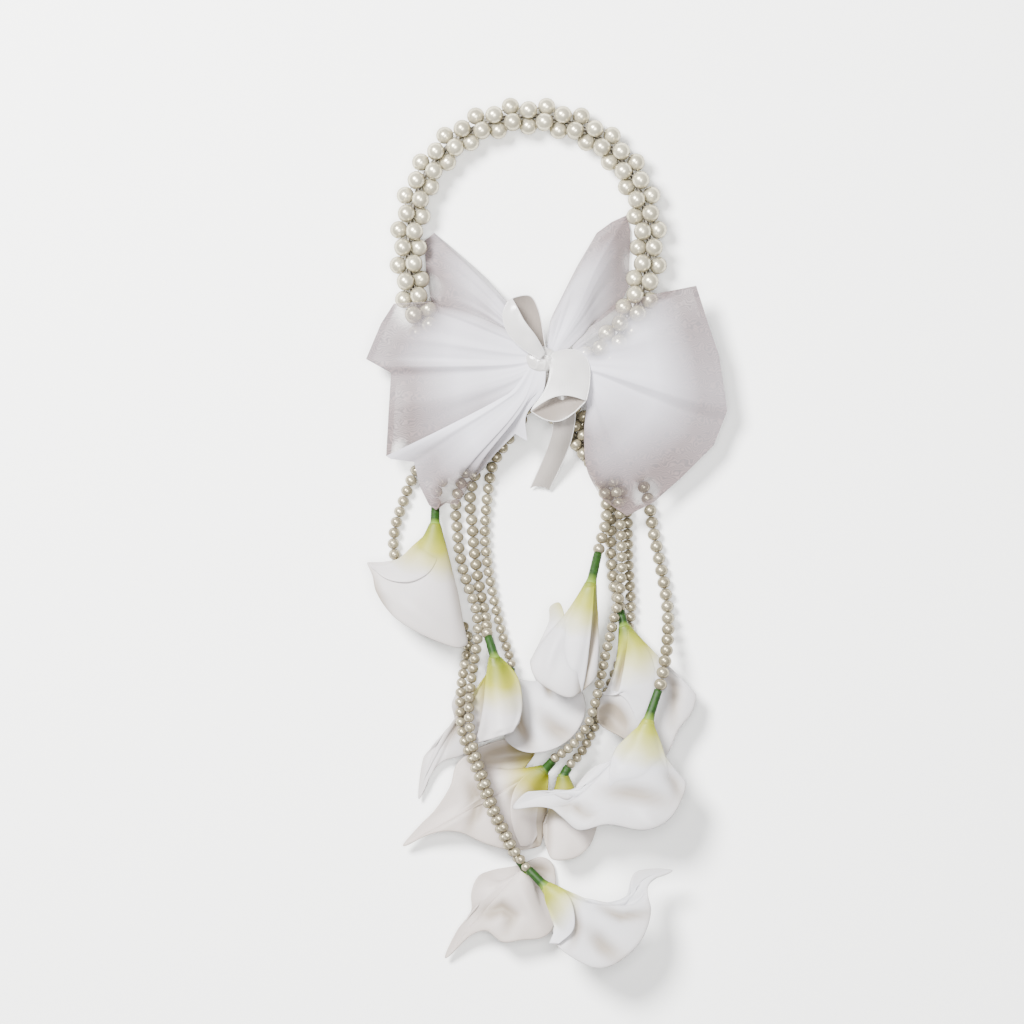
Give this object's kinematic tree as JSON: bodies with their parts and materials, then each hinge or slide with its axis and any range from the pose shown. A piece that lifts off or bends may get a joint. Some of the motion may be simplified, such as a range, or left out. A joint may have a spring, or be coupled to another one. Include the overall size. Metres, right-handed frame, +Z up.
{
  "type": "wrist corsage",
  "caption": "Rigid hoop of twisted pearl rope with an organza bow and a cascade of pearl strands that end in white calla lilies.",
  "frame": {"origin": "middle of the underside of the bounding box", "axes": "+Y along the corsage from the lilies to the hoop, +Z up from the surface it lies on, +X across it to the right as seen from above"},
  "size_m": [0.1604, 0.3862, 0.0338],
  "materials": {
    "pearl": "pearlescent",
    "steel_wire": "drawn wire",
    "organza": "sheer",
    "satin": "satin weave",
    "petal": "soft foam skin",
    "stem": "floral tape",
    "spadix": "flocked"
  },
  "bodies": {
    "hoop": {"hoop_core_wire": "steel_wire", "hoop_pearl_string_1": "pearl", "hoop_pearl_string_2": "pearl", "hoop_pearl_string_3": "pearl", "hoop_binding": "satin", "ribbon_knot": "satin", "ribbon_tail": "satin", "ribbon_loop_upper": "satin", "ribbon_loop_lower": "satin", "organza_left_loop": "organza", "organza_left_tail": "organza", "organza_upper_left_tail": "organza", "organza_upper_right_loop": "organza", "organza_right_loop": "organza"},
    "cascade": {"pearl_strand_1": "pearl", "pearl_strand_2": "pearl", "pearl_strand_3": "pearl", "pearl_strand_4": "pearl", "pearl_strand_5": "pearl", "pearl_strand_6": "pearl", "pearl_strand_7": "pearl", "pearl_strand_8": "pearl", "pearl_strand_9": "pearl", "pearl_strand_10": "pearl", "stem_2": "stem", "spathe_2": "petal", "spadix_2": "spadix", "stem_4": "stem", "spathe_4": "petal", "spadix_4": "spadix"},
    "lily_1": {"stem_1": "stem", "spathe_1": "petal", "spadix_1": "spadix"},
    "lily_3": {"stem_3": "stem", "spathe_3": "petal", "spadix_3": "spadix"},
    "lily_5": {"stem_5": "stem", "spathe_5": "petal", "spadix_5": "spadix"},
    "lily_6": {"stem_6": "stem", "spathe_6": "petal", "spadix_6": "spadix"},
    "lily_7": {"stem_7": "stem", "spathe_7": "petal", "spadix_7": "spadix"},
    "lily_8": {"stem_8": "stem", "spathe_8": "petal", "spadix_8": "spadix"},
    "lily_9": {"stem_9": "stem", "spathe_9": "petal", "spadix_9": "spadix"},
    "lily_10": {"stem_10": "stem", "spathe_10": "petal", "spadix_10": "spadix"}
  },
  "joints": [
    {"name": "cascade_swing", "type": "hinge", "parent": "hoop", "child": "cascade", "pos_m": [-0.00511, 0.07093, 0.00963], "axis": [1, 0, 0], "range_deg": [0, 75]},
    {"name": "lily_1_nod", "type": "hinge", "parent": "cascade", "child": "lily_1", "pos_m": [-0.04955, 0.01271, 0.00505], "axis": [-0.9981, 0.0614, 0], "range_deg": [0, 15]},
    {"name": "lily_3_nod", "type": "hinge", "parent": "cascade", "child": "lily_3", "pos_m": [0.02333, -0.00774, 0.0086], "axis": [-0.9594, 0.2822, 0], "range_deg": [0, 40]},
    {"name": "lily_5_nod", "type": "hinge", "parent": "cascade", "child": "lily_5", "pos_m": [0.05044, -0.06774, 0.0206], "axis": [-0.9785, 0.206, 0], "range_deg": [0, 40]},
    {"name": "lily_6_nod", "type": "hinge", "parent": "cascade", "child": "lily_6", "pos_m": [0.00378, -0.10062, 0.01127], "axis": [0.59, -0.8074, 0], "range_deg": [0, 35]},
    {"name": "lily_7_nod", "type": "hinge", "parent": "cascade", "child": "lily_7", "pos_m": [0.01089, -0.10329, 0.00949], "axis": [0.9991, -0.0416, 0], "range_deg": [0, 35]},
    {"name": "lily_8_nod", "type": "hinge", "parent": "cascade", "child": "lily_8", "pos_m": [-0.00911, -0.14862, 0.02016], "axis": [-0.666, -0.7459, 0], "range_deg": [0, 40]},
    {"name": "lily_9_nod", "type": "hinge", "parent": "cascade", "child": "lily_9", "pos_m": [-0.01311, -0.14507, 0.0126], "axis": [0.9997, -0.025, 0], "range_deg": [0, 35]},
    {"name": "lily_10_nod", "type": "hinge", "parent": "cascade", "child": "lily_10", "pos_m": [-0.01578, -0.05885, 0.00594], "axis": [0.8593, 0.5115, 0], "range_deg": [0, 35]}
  ]
}
